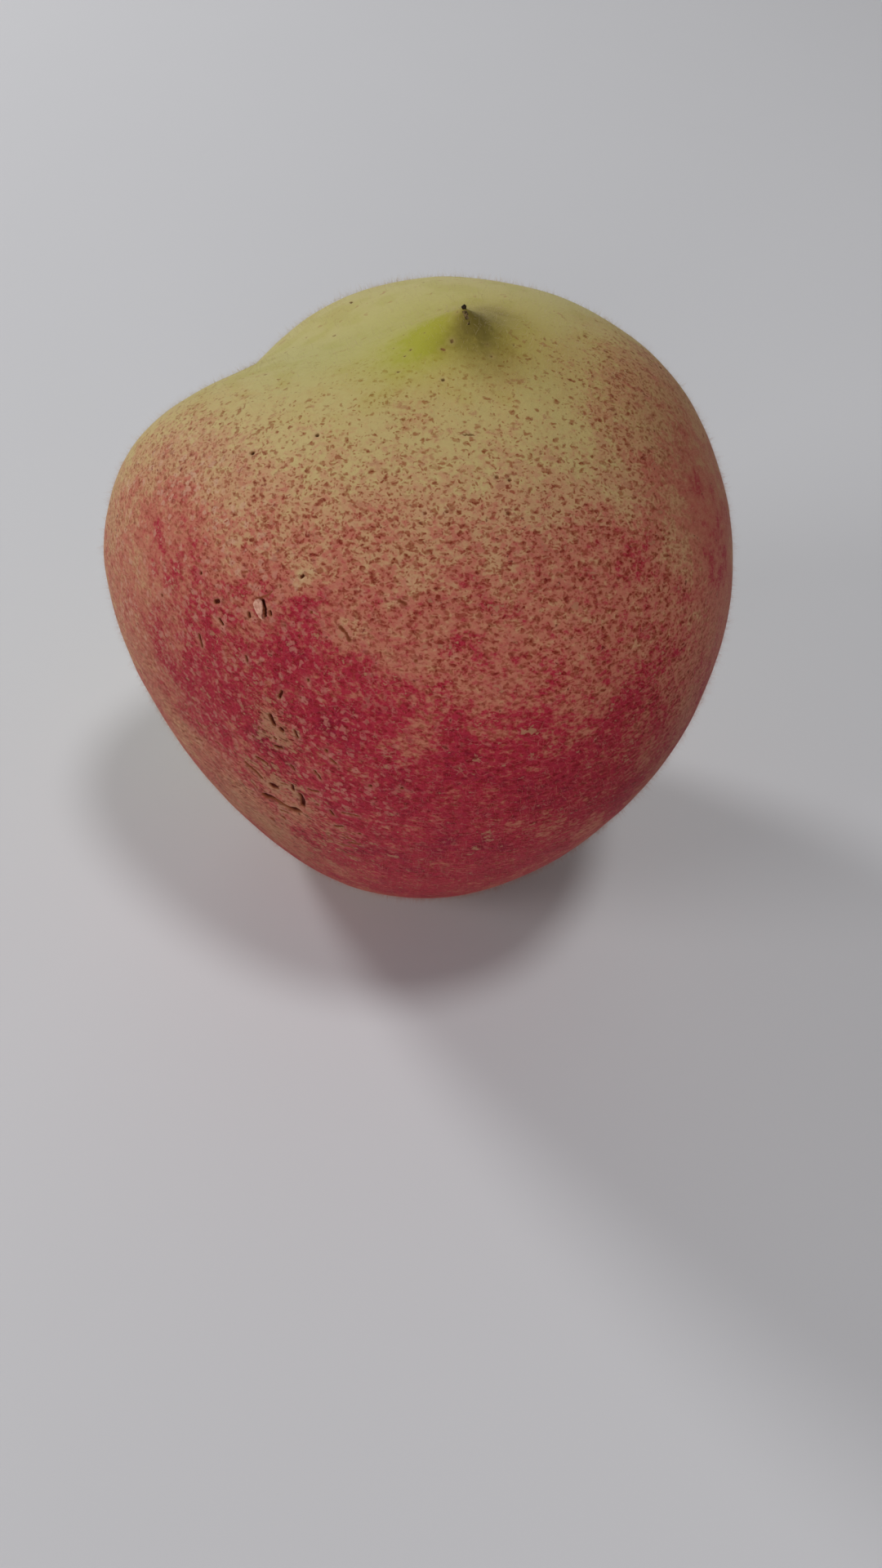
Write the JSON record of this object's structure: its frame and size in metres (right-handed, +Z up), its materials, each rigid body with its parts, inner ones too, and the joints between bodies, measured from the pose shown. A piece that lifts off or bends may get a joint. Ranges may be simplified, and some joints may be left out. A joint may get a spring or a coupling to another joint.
{
  "type": "peach",
  "caption": "Whole fresh peach with a pointed beak, a suture down one side and a stem cavity, resting on its stem end.",
  "frame": {"origin": "on the surface the fruit rests on, under the middle of its box", "axes": "+Z up along the fruit, from the stem cavity to the beak; +Y towards its back, so that the suture faces the back left; +X to its right"},
  "size_m": [0.0552, 0.0568, 0.0593],
  "materials": {
    "peach_skin": "velvety skin with short fuzz"
  },
  "bodies": {
    "root": {"peach": "peach_skin"}
  },
  "joints": []
}
